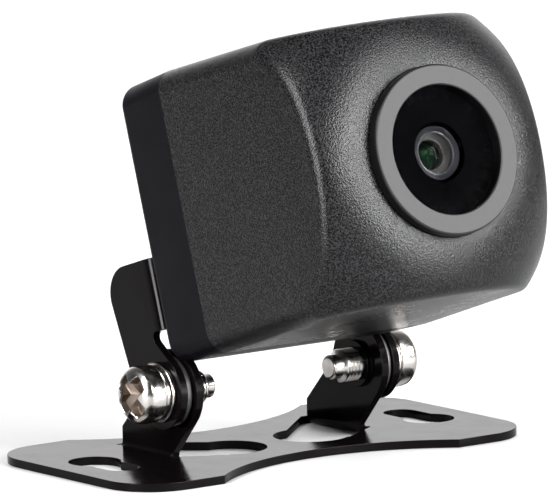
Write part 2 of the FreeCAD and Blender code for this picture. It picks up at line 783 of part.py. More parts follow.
def lens_holder():
    """The block over the sensor with the threaded tower that takes the barrel."""
    body = new_body("lens_holder")
    axis = dims["lens_height"]
    face = dims["sensor_board_rear"] + dims["board_thick"]
    thread = dims["barrel_thread"]
    pad(body, 4.8, plane="XZ", depth=face, up=axis, outlines=[rectangle(-6.3, -6.3, 6.3, 6.3)])
    pad(body, 1.6, plane="XZ", depth=face, up=axis, outlines=[rectangle(-2.2, -10.6, 2.2, 10.6)])
    soften(body, 0.8, lambda e: runs_along(e, "y"))
    pad(body, 5.2, plane="XZ", depth=face + 4.8, up=axis, circles=[(0, 0, thread + 1.5)])
    pocket(body, 3.8, plane="XZ", depth=face, up=axis, outlines=[rectangle(-4.5, -4.5, 4.5, 4.5)])
    pocket(body, 10, plane="XZ", depth=face + 3, up=axis, circles=[(0, 0, 3.6)])
    pocket(body, 6, plane="XZ", depth=dims["barrel_rear"] - 0.1, up=axis, circles=[(0, 0, thread)])
    pocket(body, 1.5, plane="XZ", depth=face, up=axis, circles=[(0, s * 8.6, 0.8) for s in (1, -1)])
    return keep(body, tilts=True)


def focus_parts():
    """The lock ring round the barrel, the infrared filter and the holder's two screws."""
    face = dims["sensor_board_rear"] + dims["board_thick"]
    tower = face + 10
    thread = dims["barrel_thread"]
    keep(tube("lens_lock_ring", tower, tower + 1.4, dims["lock_ring_radius"], thread), tilts=True)
    keep(slab("ir_cut_filter", face + 3.5, 0.3, outlines=[rectangle(-4.2, -4.2, 4.2, 4.2)]), tilts=True)
    axis = dims["lens_height"]
    screws = [small_screw("holder_screw", dims["sensor_board_rear"], 2.6, 0.8, 1.5, 1.0, 0,
                          axis + s * 8.6) for s in (1, -1)]
    keep(group("holder_screws", screws), tilts=True)


# ---- boards ---------------------------------------------------------------------------------------------

def board_outline():
    """A board with notched corners that clear the screw bosses."""
    wide, tall = dims["board_across"], dims["board_up"]
    inner, low = dims["board_notch_across"], dims["board_notch_up"]
    quarter = [(wide, low), (inner, low), (inner, tall)]
    outline = quarter + [(-x, y) for x, y in reversed(quarter)]
    return outline + [(-x, -y) for x, y in quarter] + [(x, -y) for x, y in reversed(quarter)]


def boards():
    thick, sensor, power = dims["board_thick"], dims["sensor_board_rear"], dims["power_board_rear"]
    screw = dims["board_screw_radius"] + 0.1
    posts = [(s * dims["post_across"], 0, screw) for s in (1, -1)]
    holder = [(0, s * 8.6, 0.85) for s in (1, -1)]
    keep(slab("sensor_board", sensor, thick, [board_outline()], posts + holder), tilts=True)
    keep(slab("power_board", power, thick, [board_outline()], posts), tilts=True)
    gap = sensor - power - thick
    axis = dims["lens_height"]
    spacers = [tube("board_spacer", power + thick, sensor, 1.8, screw, s * dims["post_across"])
               for s in (1, -1)]
    keep(group("board_spacers", spacers), tilts=True)
    screws = [small_screw("board_screw", power, gap + 2 * thick + 4, dims["board_screw_radius"], 1.7,
                          1.2, s * dims["post_across"], axis) for s in (1, -1)]
    keep(group("board_screws", screws), tilts=True)


def sensor_parts():
    """The image sensor with its glass, and the processor behind it."""
    board = dims["sensor_board_rear"]
    face = board + dims["board_thick"]
    keep(slab("image_sensor", face, 1.2, [rectangle(-3.4, -2.8, 3.4, 2.8)]), tilts=True)
    keep(slab("sensor_glass", face + 1.2, 0.4, [rectangle(-2.7, -2.1, 2.7, 2.1)]), tilts=True)
    keep(slab("signal_processor", board - 0.9, 0.9, [rectangle(-3, -3, 3, 3)]), tilts=True)


def power_parts():
    """The header between the boards and what stands on the power board."""
    power = dims["power_board_rear"]
    face = power + dims["board_thick"]
    gap = dims["sensor_board_rear"] - face
    keep(slab("board_header", face, gap, [rectangle(2.2, -11.4, 7.8, -8.2)]), tilts=True)
    keep(slab("power_inductor", power - 3, 3, [rectangle(3, -6.6, 8, -1.6)]), tilts=True)
    capacitor = tube("filter_capacitor", power - 5.2, power, 2, 0, -5, dims["lens_height"] - 2.2)
    keep(capacitor, tilts=True)
    keep(slab("voltage_regulator", power - 1.2, 1.2, [rectangle(-1.6, -4.5, 1.6, -1.2)]), tilts=True)
    keep(slab("cable_header", power - 5, 5, [rectangle(-4.4, 6.4, 4.4, 10.6)]), tilts=True)
    chips = [slab("small_part", power - 0.6, 0.6, [rectangle(x, y, x + 1.6, y + 0.8)])
             for x in (-8, -2.6, 1, 4.6) for y in (1.2, 3)]
    keep(group("small_components", chips), tilts=True)


# ---- cable inlet ---------------------------------------------------------------------------------------

def cable_inlet():
    """A rubber gland through the rear wall, held inside by a ring and sealed by its flange."""
    rear, wall, hole = dims["rear_face"], dims["wall"], dims["inlet_radius"]
    bore, tail = dims["cable_radius"], dims["gland_tail"]
    height = dims["lens_height"] + dims["inlet_above"]
    inner = rear + wall
    keep(turned("cable_gland", [
        (rear - tail, bore), (inner + 2.4, bore), (inner + 2.4, hole - 0.05), (rear, hole - 0.05),
        (rear, hole + 1), (rear - 1.2, hole + 1), (rear - 1.6, hole - 0.2), (rear - tail, bore + 0.9),
    ], 0, height), tilts=True)
    keep(tube("gland_ring", inner, inner + 1.4, hole + 1.3, hole - 0.05, 0, height), tilts=True)


# ---- make, check and write --------------------------------------------------------------------------------

def check_document():
    for obj in doc.Objects:
        if "Invalid" in obj.State or "Error" in obj.State:
            raise RuntimeError(f"{obj.Label} did not recompute: {obj.State}")
    for part in subparts:
        if part.Shape.isNull() or not part.Shape.isValid():
            raise RuntimeError(f"{part.Label} has no valid shape")


def write_parts():
    os.makedirs("parts", exist_ok=True)
    for part in subparts:
        part.Shape.exportStep(f"parts/{part.Label}.step")


base_bracket()
for name, side in (("left", -1), ("right", 1)):
    pivot_screw(name, side)
    pivot_stack(name, side)
camera_bracket()
bracket_screws()
front_housing()
rear_cover()
housing_seal()
housing_screws()
window()
lens_barrel()
lens_stack()
lens_holder()
focus_parts()
boards()
sensor_parts()
power_parts()
cable_inlet()
doc.recompute()
check_document()
write_parts()
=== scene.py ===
import math

import bmesh
import bpy
from mathutils import Matrix, Vector


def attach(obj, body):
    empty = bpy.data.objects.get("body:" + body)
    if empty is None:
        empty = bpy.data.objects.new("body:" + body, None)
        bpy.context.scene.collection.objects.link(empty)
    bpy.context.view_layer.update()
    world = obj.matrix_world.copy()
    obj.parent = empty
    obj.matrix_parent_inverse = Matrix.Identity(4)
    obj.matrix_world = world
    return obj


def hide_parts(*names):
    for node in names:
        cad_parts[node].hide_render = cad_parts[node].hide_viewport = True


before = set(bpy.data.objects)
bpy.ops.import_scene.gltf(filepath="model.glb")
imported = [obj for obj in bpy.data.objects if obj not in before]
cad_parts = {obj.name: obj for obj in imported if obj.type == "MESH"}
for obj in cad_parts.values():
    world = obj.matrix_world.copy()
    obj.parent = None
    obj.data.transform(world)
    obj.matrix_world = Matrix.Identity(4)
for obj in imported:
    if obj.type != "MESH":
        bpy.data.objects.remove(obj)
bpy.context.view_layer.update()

MM = 0.001
PIVOT = Vector((0, -1.41, 8.78)) * MM        # the tilt axis runs along X through this point
TILT = math.radians(17.16)                   # how far the lens axis points above level at rest
LENS_HEIGHT = 19.1 * MM                      # lens axis above the tilt axis, in the camera frame
RING_FRONT = 43.05 * MM                     # the bezel's face, in the camera frame
TAU = 2 * math.pi

OBJECT_CENTRE = Vector((0, -0.014, 0.03))
PICTURE_CENTRE = Vector((2.677, -0.482, 23.188)) * MM
VIEW_AZIMUTH = -36.345                       # degrees from the lens side, seen from above
VIEW_ELEVATION = 9.2
VIEW_DISTANCE = 1.2

# The camera frame: X along the tilt axis, Y forward along the lens axis, Z away from the axis.
CAMERA_FRAME = (Matrix.Translation(PIVOT) @ Matrix.Rotation(-TILT, 4, "X")
                @ Matrix.Diagonal((1, -1, 1, 1)))
LENS_AXIS = CAMERA_FRAME @ Matrix.Translation((0, 0, LENS_HEIGHT))
LENS_TURN = LENS_AXIS @ Matrix.Rotation(-math.pi / 2, 4, "X")    # local Z runs forward


# ---- node helpers --------------------------------------------------------------------------------

class Shader:
    """A small builder for node materials."""

    def __init__(self, name):
        self.material = bpy.data.materials.new(name)
        self.material.use_nodes = True
        self.tree = self.material.node_tree
        self.tree.nodes.clear()
        self.output = self.tree.nodes.new("ShaderNodeOutputMaterial")
        self.coordinates = self.tree.nodes.new("ShaderNodeTexCoord")

    def node(self, kind, **settings):
        made = self.tree.nodes.new("ShaderNode" + kind)
        for key, value in settings.items():
            setattr(made, key, value)
        return made

    def link(self, source, target):
        self.tree.links.new(source, target)

    def principled(self, color, roughness, metallic=0.0, **sockets):
        shader = self.node("BsdfPrincipled")
        shader.inputs["Base Color"].default_value = (*color, 1)
        shader.inputs["Roughness"].default_value = roughness
        shader.inputs["Metallic"].default_value = metallic
        for socket, value in sockets.items():
            shader.inputs[socket.replace("_", " ")].default_value = value
        self.link(shader.outputs[0], self.output.inputs["Surface"])
        return shader

    def noise(self, scale, detail=3.0, roughness=0.5, stretch=(1, 1, 1)):
        """Noise in the object's own metres; scale is cells per metre."""
        mapping = self.node("Mapping")
        mapping.inputs["Scale"].default_value = stretch
        self.link(self.coordinates.outputs["Object"], mapping.inputs["Vector"])
        texture = self.node("TexNoise")
        texture.inputs["Scale"].default_value = scale
        texture.inputs["Detail"].default_value = detail
        texture.inputs["Roughness"].default_value = roughness
        self.link(mapping.outputs[0], texture.inputs["Vector"])
        return texture.outputs["Fac"]

    def cells(self, scale):
        texture = self.node("TexVoronoi", feature="F1")
        texture.inputs["Scale"].default_value = scale
        self.link(self.coordinates.outputs["Object"], texture.inputs["Vector"])
        return texture.outputs["Distance"]

    def ramp(self, factor, stops):
        """A colour ramp; stops are (position, colour)."""
        ramp = self.node("ValToRGB")
        elements = ramp.color_ramp.elements
        while len(elements) < len(stops):
            elements.new(0.5)
        for element, (position, color) in zip(elements, stops):
            element.position = position
            element.color = (*color, 1)
        self.link(factor, ramp.inputs["Fac"])
        return ramp.outputs["Color"]

    def span(self, factor, low, high, start=0.0, end=1.0):
        """Map a factor from low..high to start..end."""
        node = self.node("MapRange")
        node.inputs["From Min"].default_value = low
        node.inputs["From Max"].default_value = high
        node.inputs["To Min"].default_value = start
        node.inputs["To Max"].default_value = end
        self.link(factor, node.inputs["Value"])
        return node.outputs["Result"]

    def math(self, operation, first, second):
        node = self.node("Math", operation=operation)
        for socket, value in zip(node.inputs, (first, second)):
            if isinstance(value, (int, float)):
                socket.default_value = value
            else:
                self.link(value, socket)
        return node.outputs[0]

    def bump(self, shader, height, distance, strength=1.0):
        node = self.node("Bump")
        node.inputs["Strength"].default_value = strength
        node.inputs["Distance"].default_value = distance
        self.link(height, node.inputs["Height"])
        self.link(node.outputs[0], shader.inputs["Normal"])


# ---- materials -----------------------------------------------------------------------------------

def grained_plastic():
    """Spark-eroded black moulding: a fine even grain that glints and scatters highlights."""
    s = Shader("grained_plastic")
    shader = s.principled((0.005, 0.005, 0.0055), 0.3, IOR=1.215)
    pebbles = s.cells(4600)
    fine = s.noise(5200, 2.0)
    grain = s.math("ADD", s.math("MULTIPLY", pebbles, 0.7), s.math("MULTIPLY", fine, 0.8))
    s.bump(shader, grain, 0.000035, 1.0)
    s.link(s.ramp(grain, [(0.6, (0.0002, 0.0002, 0.0003)), (0.95, (0.01, 0.01, 0.0105))]),
           shader.inputs["Base Color"])
    s.link(s.span(s.noise(160, 2.0), 0.3, 0.7, 0.26, 0.3), shader.inputs["Roughness"])
    return s.material


def smooth_plastic():
    """The rear cover's finer, darker satin moulding."""
    s = Shader("smooth_plastic")
    shader = s.principled((0.001, 0.0008, 0.0015), 0.34, IOR=1.13)
    fine = s.noise(5200, 3.0)
    s.bump(shader, fine, 0.000012, 0.6)
    s.link(s.span(s.noise(220), 0.3, 0.7, 0.38, 0.48), shader.inputs["Roughness"])
    return s.material


def black_paint():
    """Gloss black enamel over sheet steel, with a faint orange peel."""
    s = Shader("black_paint")
    shader = s.principled((0.0012, 0.0009, 0.001), 0.14, IOR=1.145)
    peel = s.noise(900, 2.0)
    specks = s.noise(5200, 1.0)
    s.bump(shader, s.math("ADD", peel, s.math("MULTIPLY", specks, 0.15)), 0.000012, 0.25)
    s.link(s.span(s.noise(300), 0.3, 0.7, 0.1, 0.18), shader.inputs["Roughness"])
    return s.material


def bright_steel(name="bright_steel", color=(0.44, 0.42, 0.4), roughness=0.2):
    """Bright plated steel with light turning marks and handling scuffs."""
    s = Shader(name)
    shader = s.principled(color, roughness, 1.0)
    scuffs = s.noise(2600, 4.0, 0.6, (6, 1, 1))
    s.bump(shader, scuffs, 0.000004, 0.3)
    s.link(s.span(s.noise(1500), 0.35, 0.7, roughness * 0.8, roughness * 1.3),
           shader.inputs["Roughness"])
    tint = [(0.3, tuple(c * 0.86 for c in color)), (0.7, color)]
    s.link(s.ramp(s.noise(1100), tint), shader.inputs["Base Color"])
    return s.material


def rubber():
    """Matt black rubber for the discs, seals and gland."""
    s = Shader("rubber")
    shader = s.principled((0.011, 0.011, 0.011), 0.5)
    s.bump(shader, s.noise(4200, 3.0), 0.00002, 0.5)
    s.link(s.span(s.noise(600), 0.3, 0.7, 0.4, 0.6), shader.inputs["Roughness"])
    return s.material


def ring_finish():
    """The bezel: a satin grey printed face; its sides are the black moulding underneath."""
    s = Shader("ring_finish")
    shader = s.principled((0.012, 0.012, 0.012), 0.42, IOR=1.25)
    # forward distance along the lens axis picks out the flat front face
    split = s.node("SeparateXYZ")
    s.link(s.coordinates.outputs["Object"], split.inputs[0])
    forward = s.math("ADD", s.math("MULTIPLY", split.outputs["Y"], -math.cos(TILT)),
                     s.math("MULTIPLY", split.outputs["Z"], math.sin(TILT)))
    face = PIVOT.z * math.sin(TILT) - PIVOT.y * math.cos(TILT) + RING_FRONT
    on_face = s.span(forward, face - 0.00016, face - 0.00008)
    mottled = s.ramp(s.noise(5200, 2.0), [(0.35, (0.012, 0.012, 0.012)), (0.65, (0.014, 0.014, 0.014))])
    mix = s.node("Mix", data_type="RGBA")
    mix.inputs["A"].default_value = (0.002, 0.002, 0.002, 1)
    s.link(on_face, mix.inputs["Factor"])
    s.link(mottled, mix.inputs["B"])
    s.link(mix.outputs["Result"], shader.inputs["Base Color"])
    s.link(s.span(on_face, 0, 1, 0.22, 0.46), shader.inputs["Roughness"])
    s.bump(shader, s.noise(4800, 2.0), 0.00001, 0.5)
    return s.material


def matt_black(name, color, roughness, ior):
    """A black coating inside the lens and behind the window."""
    s = Shader(name)
    shader = s.principled(color, roughness, IOR=ior)
    s.bump(shader, s.noise(5000, 3.0), 0.00001, 0.4)
    s.link(s.span(s.noise(900), 0.3, 0.7, roughness * 0.85, roughness * 1.15),
           shader.inputs["Roughness"])
    return s.material


def clear_glass(name, color, ior):
    """Coated optical glass: see-through, with a weak surface reflection."""
    s = Shader(name)
    glass = s.principled(color, 0.0, Transmission_Weight=1.0, IOR=ior)
    s.link(s.span(s.noise(400, 1.0), 0.0, 1.0, 0.0, 0.02), glass.inputs["Roughness"])
    return s.material


def coated_dome():
    """The dark inner glass: its coating reflects green."""
    s = Shader("coated_dome")
    shader = s.principled((0.002, 0.005, 0.003), 0.03, IOR=1.13, Specular_Tint=(0.15, 1.0, 0.3, 1))
    s.link(s.span(s.noise(900, 1.0), 0.3, 0.7, 0.02, 0.06), shader.inputs["Roughness"])
    return s.material


def speckled(name, dark, light, roughness, scale=2500, metallic=0.0, bump=0.00001):
    """A plain engineering finish with a slight mottle."""
    s = Shader(name)
    shader = s.principled(dark, roughness, metallic)
    fine = s.noise(scale, 3.0)
    s.link(s.ramp(fine, [(0.35, dark), (0.65, light)]), shader.inputs["Base Color"])
    s.link(s.span(fine, 0.3, 0.7, roughness * 0.85, roughness * 1.15), shader.inputs["Roughness"])
    s.bump(shader, fine, bump, 0.5)
    return s.material


# ---- mesh helpers --------------------------------------------------------------------------------

def add_object(name, mesh, material):
    """Link a mesh into the scene as an object with one material."""
    obj = bpy.data.objects.new(name, mesh)
    bpy.context.scene.collection.objects.link(obj)
    mesh.materials.append(material)
    return obj


def smooth(mesh, angle=0.6):
    """Smooth shading that keeps edges sharper than the angle."""
    for polygon in mesh.polygons:
        polygon.use_smooth = True
    mesh.set_sharp_from_angle(angle=angle)


def grid_surface(name, rows):
    """A mesh from rows of points, each row a closed loop; rows of one point close an end."""
    bm = bmesh.new()
    loops = [[bm.verts.new(point) for point in row] for row in rows]
    for lower, upper in zip(loops, loops[1:]):
        count = max(len(lower), len(upper))
        for i in range(count):
            j = (i + 1) % count
            quad = [lower[i % len(lower)], lower[j % len(lower)], upper[j % len(upper)],
                    upper[i % len(upper)]]
            corners = []
            for vertex in quad:
                if vertex not in corners:
                    corners.append(vertex)
            if len(corners) > 2:
                bm.faces.new(corners)
    bmesh.ops.recalc_face_normals(bm, faces=bm.faces)
    mesh = bpy.data.meshes.new(name)
    bm.to_mesh(mesh)
    bm.free()
    return mesh


def circle_row(along, radius, segments, place):
    """A loop of points round the local Z axis."""
    if radius <= 0:
        return [place @ Vector((0, 0, along))]
    return [place @ Vector((radius * math.cos(TAU * i / segments),
                            radius * math.sin(TAU * i / segments), along)) for i in range(segments)]


def rounded_profile(corners, bevel, steps=3):
    """Round each corner of an (along, radius) outline by a short arc."""
    points = []
    count = len(corners)
    for i, corner in enumerate(corners):
        here = Vector(corner)
        before, after = Vector(corners[i - 1]), Vector(corners[(i + 1) % count])
        if here.y <= 0:
            points.append(here)
            continue
        to_before, to_after = (before - here), (after - here)
        reach = min(bevel, to_before.length * 0.45, to_after.length * 0.45)
        start = here + to_before.normalized() * reach
        end = here + to_after.normalized() * reach
        for step in range(steps + 1):
            t = step / steps
            points.append(start * (1 - t) ** 2 + here * 2 * t * (1 - t) + end * t * t)
    return points


def lathe(name, corners, place, material, bevel=0.0001, segments=96, angle=0.6):
    """A turned piece from an (along, radius) outline that closes on itself or on the axis."""
    points = rounded_profile(corners, bevel)
    rows = [circle_row(p.x, p.y, segments, place) for p in points]
    if min(p.y for p in points) > 0:
        rows.append(rows[0])
        mesh = ring_surface(name, rows[:-1])
    else:
        mesh = grid_surface(name, rows)
    smooth(mesh, angle)
    return add_object(name, mesh, material)


def ring_surface(name, rows):
    """A closed tube: rows of points joined in a ring, such as a washer's section turned round."""
    bm = bmesh.new()
    loops = [[bm.verts.new(point) for point in row] for row in rows]
    for r, lower in enumerate(loops):
        upper = loops[(r + 1) % len(loops)]
        for i in range(len(lower)):
            j = (i + 1) % len(lower)
            bm.faces.new((lower[i], lower[j], upper[j], upper[i]))
    bmesh.ops.recalc_face_normals(bm, faces=bm.faces)
    mesh = bpy.data.meshes.new(name)
    bm.to_mesh(mesh)
    bm.free()
    return mesh


# ---- camera, light and floor ---------------------------------------------------------------------

def look(obj, target, roll=0.0):
    """Aim an object's -Z at a point, keeping its X level, then roll it."""
    direction = Vector(target) - obj.location
    obj.rotation_euler = (direction.to_track_quat("-Z", "Y").to_matrix()
                          @ Matrix.Rotation(roll, 3, "Z")).to_euler()


def on_sphere(azimuth, elevation, distance, centre):
    """A point seen from centre at an azimuth (0 is the lens side, -Y) and elevation in degrees."""
    a, e = math.radians(azimuth), math.radians(elevation)
    way = Vector((math.sin(a) * math.cos(e), -math.cos(a) * math.cos(e), math.sin(e)))
    return Vector(centre) + way * distance


def make_camera():
    """The picture's viewpoint: a long lens 1.2 m away, low and to the left."""
    data = bpy.data.cameras.new("camera")
    data.lens = 654.9
    data.sensor_width = 36.0
    data.clip_start = 0.01
    data.clip_end = 20
    camera = bpy.data.objects.new("camera", data)
    bpy.context.scene.collection.objects.link(camera)
    camera.location = on_sphere(VIEW_AZIMUTH, VIEW_ELEVATION, VIEW_DISTANCE, PICTURE_CENTRE)
    look(camera, PICTURE_CENTRE, math.radians(-1.171))
    bpy.context.scene.camera = camera


def area_light(name, azimuth, elevation, distance, size, power, aim=OBJECT_CENTRE):
    """A rectangular lamp on a sphere round the point it is aimed at."""
    data = bpy.data.lights.new(name, "AREA")
    data.shape = "RECTANGLE"
    data.size, data.size_y = size
    data.energy = power
    light = bpy.data.objects.new(name, data)
    bpy.context.scene.collection.objects.link(light)
    light.location = on_sphere(azimuth, elevation, distance, aim)
    look(light, aim)
    return light


def make_stage():
    """The white table top."""
    bpy.ops.mesh.primitive_plane_add(size=12, location=(0, 0, -0.00002))
    floor = bpy.context.object
    floor.name = "floor"
    s = Shader("floor_white")
    shader = s.principled((0.3, 0.3, 0.3), 0.7)
    s.link(s.ramp(s.noise(3.0, 1.0), [(0.0, (0.29, 0.29, 0.29)), (1.0, (0.31, 0.31, 0.31))]),
           shader.inputs["Base Color"])
    floor.data.materials.append(s.material)


def make_world():
    """A studio: bright behind the object and over the table, dimmer on the camera's side."""
    world = bpy.data.worlds.new("studio")
    bpy.context.scene.world = world
    world.use_nodes = True
    tree = world.node_tree
    background = tree.nodes["Background"]
    coordinates = tree.nodes.new("ShaderNodeTexCoord")
    dot = tree.nodes.new("ShaderNodeVectorMath")
    dot.operation = "DOT_PRODUCT"
    dot.inputs[1].default_value = on_sphere(-36, 0, 1, (0, 0, 0))
    ramp = tree.nodes.new("ShaderNodeValToRGB")
    remap = tree.nodes.new("ShaderNodeMapRange")
    remap.inputs["From Min"].default_value = -1
    tree.links.new(coordinates.outputs["Generated"], dot.inputs[0])
    tree.links.new(dot.outputs["Value"], remap.inputs["Value"])
    tree.links.new(remap.outputs["Result"], ramp.inputs["Fac"])
    stops = [(0.0, 1.8), (0.05, 1.6), (0.16, 0.3), (0.4, 0.05), (1.0, 0.02)]
    elements = ramp.color_ramp.elements
    while len(elements) < len(stops):
        elements.new(0.5)
    for element, (position, value) in zip(elements, stops):
        element.position = position
        element.color = (value, value, value, 1)
    tree.links.new(ramp.outputs["Color"], background.inputs["Color"])
    background.inputs["Strength"].default_value = 1.0


# ---- pivot screws --------------------------------------------------------------------------------

SCREW_RADIUS = 2.0 * MM
WASHER_HOLE = 2.12 * MM
SCREW_TIP = 8.7 * MM
TIP_LENGTH = 1.3 * MM
HEAD_SEAT = 17.2 * MM
HEAD_TOP = 20.4 * MM
HEAD_SIDE = 1.6 * MM                         # straight side under the domed crown
CROWN_START = 3.42 * MM
CROWN_RADIUS = 3.44 * MM
RECESS_REACH = 2.75 * MM
RECESS_SHADE_DEPTH = 0.25 * MM                       # the recess wall is painted darker below this depth, as painted shade
THREAD_PITCH = 0.5 * MM
THREAD_DEPTH = 0.22 * MM
THREAD_RUN_IN = 0.4 * MM                     # plain shank between the dog point and the thread


def pivot_frame(side):
    """Local Z runs outward along the tilt axis, on the side given by +1 or -1."""
    return Matrix.Translation(PIVOT) @ Matrix.Rotation(side * math.pi / 2, 4, "Y")


def thread_rows(place, segments=96, per_turn=12):
    """A right-hand thread with a rounded crest that fades out at both ends."""
    start = SCREW_TIP + TIP_LENGTH + THREAD_RUN_IN
    end = HEAD_SEAT - 0.4 * MM
    count = int((end - start) / THREAD_PITCH * per_turn)
    rows = []
    for k in range(count + 1):
        along = start + (end - start) * k / count
        fade = min(1.0, (along - start) / (0.3 * MM), (end - along) / (0.5 * MM))
        row = []
        for i in range(segments):
            phase = (along / THREAD_PITCH - i / segments) % 1.0
            ridge = abs(phase * 2 - 1) ** 1.3
            depth = THREAD_DEPTH * (1 - ridge) * max(fade, 0.0)
            radius = SCREW_RADIUS - depth
            angle = TAU * i / segments
            row.append(place @ Vector((radius * math.cos(angle), radius * math.sin(angle), along)))
        rows.append(row)
    return rows


def clamp(value):
    return max(0.0, min(1.0, value))


def recess_depth(x, y):
    """Depth of the cross recess at a point of the head: four tapered arms and a central pit."""
    reach = math.hypot(x, y) / RECESS_REACH
    across = min(abs(x), abs(y)) / MM
    half_width = 1.3 - 0.25 * reach
    wall = clamp((half_width - across) / 0.25)
    wall = wall * wall * (3 - 2 * wall)
    end = clamp((1.0 - reach) / 0.12)
    floor = 1.9 - 1.0 * min(1.0, reach) ** 1.2 - 0.2 * across
    return floor * MM * wall * end


def crown_row(radius, segments, place):
    """One loop of the domed head top, sunk where the recess is."""
    height = HEAD_TOP - HEAD_SEAT - HEAD_SIDE
    drop = height * (1 - math.sqrt(max(0.0, 1 - (radius / CROWN_RADIUS) ** 2.6)))
    row = []
    for i in range(segments):
        angle = TAU * i / segments
        x, y = radius * math.cos(angle), radius * math.sin(angle)
        row.append(place @ Vector((x, y, HEAD_TOP - drop - recess_depth(x, y))))
    return row


def head_rows(place, segments=192, steps=64):
    """The pan head from its seat over the rounded crown into the recess."""
    side = [(0, 2.0), (0, 3.2), (0.02, 3.34), (0.1, 3.43), (0.2, 3.45), (1.2, 3.45), (1.6, 3.42)]
    rows = [circle_row(HEAD_SEAT + z * MM, r * MM, segments, place) for z, r in side]
    for k in range(1, steps):
        rows.append(crown_row(CROWN_START * (1 - k / steps), segments, place))
    centre = crown_row(0.0, segments, place)
    rows.append(centre[:1])
    return rows


def painted_recess_shade(mesh, to_local):
    """Paint the recess walls with a darker, duller steel: painted shade."""
    mesh.materials.append(RECESS_SHADE_STEEL)
    for polygon in mesh.polygons:
        centre = to_local @ polygon.center
        sunk = recess_depth(centre.x, centre.y) > RECESS_SHADE_DEPTH
        if centre.z > HEAD_SEAT + 0.5 * MM and sunk:
            polygon.material_index = 1


def pivot_screw(side, name):
    place = pivot_frame(side) @ Matrix.Rotation(math.pi / 4, 4, "Z")
    tip = [(0.0, 0.0), (0.0, 1.05), (0.06, 1.3), (0.22, 1.46), (0.35, 1.48), (1.28, 1.48),
           (1.32, 1.5), (1.5, 1.92), (1.6, 1.99)]
    rows = [circle_row(SCREW_TIP + z * MM, r * MM, 96, place) for z, r in tip]
    rows += thread_rows(place)
    shank = grid_surface(name + "_shank", rows)
    smooth(shank, 0.9)
    screw = add_object(name + "_pivot_screw_shank", shank, BRIGHT_STEEL)
    head = grid_surface(name + "_head", head_rows(place))
    smooth(head, 0.7)
    top = add_object(name + "_pivot_screw_head", head, BRIGHT_STEEL)
    painted_recess_shade(head, place.inverted())
    for piece in (screw, top):
        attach(piece, name + "_screw")
        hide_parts(name + "_pivot_screw")


def washer(name, body, node, side, start, end, outer, material, bevel=0.12):
    """A flat ring on the tilt axis, its hole a little over the screw."""
    inner = WASHER_HOLE
    corners = [(start * MM, inner), (end * MM, inner), (end * MM, outer * MM), (start * MM, outer * MM)]
    piece = lathe(name, corners, pivot_frame(side), material, bevel * MM)
    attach(piece, body)
    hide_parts(node)


def split_washer(side, name):
    """A spring washer: a flat-sided coil of one turn with its ends a little apart."""
    place = pivot_frame(side) @ Matrix.Rotation(1.2, 4, "Z")
    start, thick = 16.58 * MM, 0.52 * MM
    inner, outer, edge = WASHER_HOLE, 3.3 * MM, 0.08 * MM
    gap = 0.12
    section = [(0, inner + edge), (0, outer - edge), (edge, outer), (thick - edge, outer),
               (thick, outer - edge), (thick, inner + edge), (thick - edge, inner), (edge, inner)]
    segments = 120
    bm = bmesh.new()
    rings = []
    for i in range(segments + 1):
        t = i / segments
        angle = gap + (TAU - 2 * gap) * t
        rise = 0.08 * MM * t
        rings.append([bm.verts.new(place @ Vector((r * math.cos(angle), r * math.sin(angle),
                                                   start + z + rise))) for z, r in section])
    for lower, upper in zip(rings, rings[1:]):
        for j in range(len(section)):
            k = (j + 1) % len(section)
            bm.faces.new((lower[j], lower[k], upper[k], upper[j]))
    bm.faces.new(rings[0])
    bm.faces.new(rings[-1])
    bmesh.ops.recalc_face_normals(bm, faces=bm.faces)
    mesh = bpy.data.meshes.new(name + "_spring_washer_mesh")
    bm.to_mesh(mesh)
    bm.free()
    smooth(mesh, 0.5)
    piece = add_object(name + "_spring_washer_coil", mesh, BRIGHT_STEEL)
    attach(piece, name + "_washers")
    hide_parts(name + "_spring_washer")


# ---- lens and sheet parts ------------------------------------------------------------------------

def cap_profile(rim, rim_radius, rise, back, steps=16):
    """A glass from its flat back to a domed front that stands rise above its rim."""
    curve = (rim_radius ** 2 + rise ** 2) / (2 * rise)
    reach = math.asin(rim_radius / curve)
    points = [(back, 0.0), (back, rim_radius), (rim, rim_radius)]
    for k in range(1, steps + 1):
        angle = reach * (1 - k / steps)
        points.append((rim + rise - curve * (1 - math.cos(angle)), curve * math.sin(angle)))
    return [(along * MM, radius * MM) for along, radius in points]


def glass(name, node, slot, material, rim, rim_radius, rise, back):
    """One lens element in place of its CAD node; lengths in mm along the lens axis."""
    rows = [circle_row(along, radius, 96, LENS_TURN)
            for along, radius in cap_profile(rim, rim_radius, rise, back)]
    mesh = grid_surface(name, rows)
    smooth(mesh, 0.5)
    piece = add_object(name, mesh, material)
    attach(piece, "camera")
    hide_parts(node)


def turned_piece(name, node, material, corners, bevel):
    """A turned lens part in place of its CAD node; corners are (along, radius) in mm."""
    corners = [(along * MM, radius * MM) for along, radius in corners]
    piece = lathe(name, corners, LENS_TURN, material, bevel * MM)
    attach(piece, "camera")
    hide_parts(node)


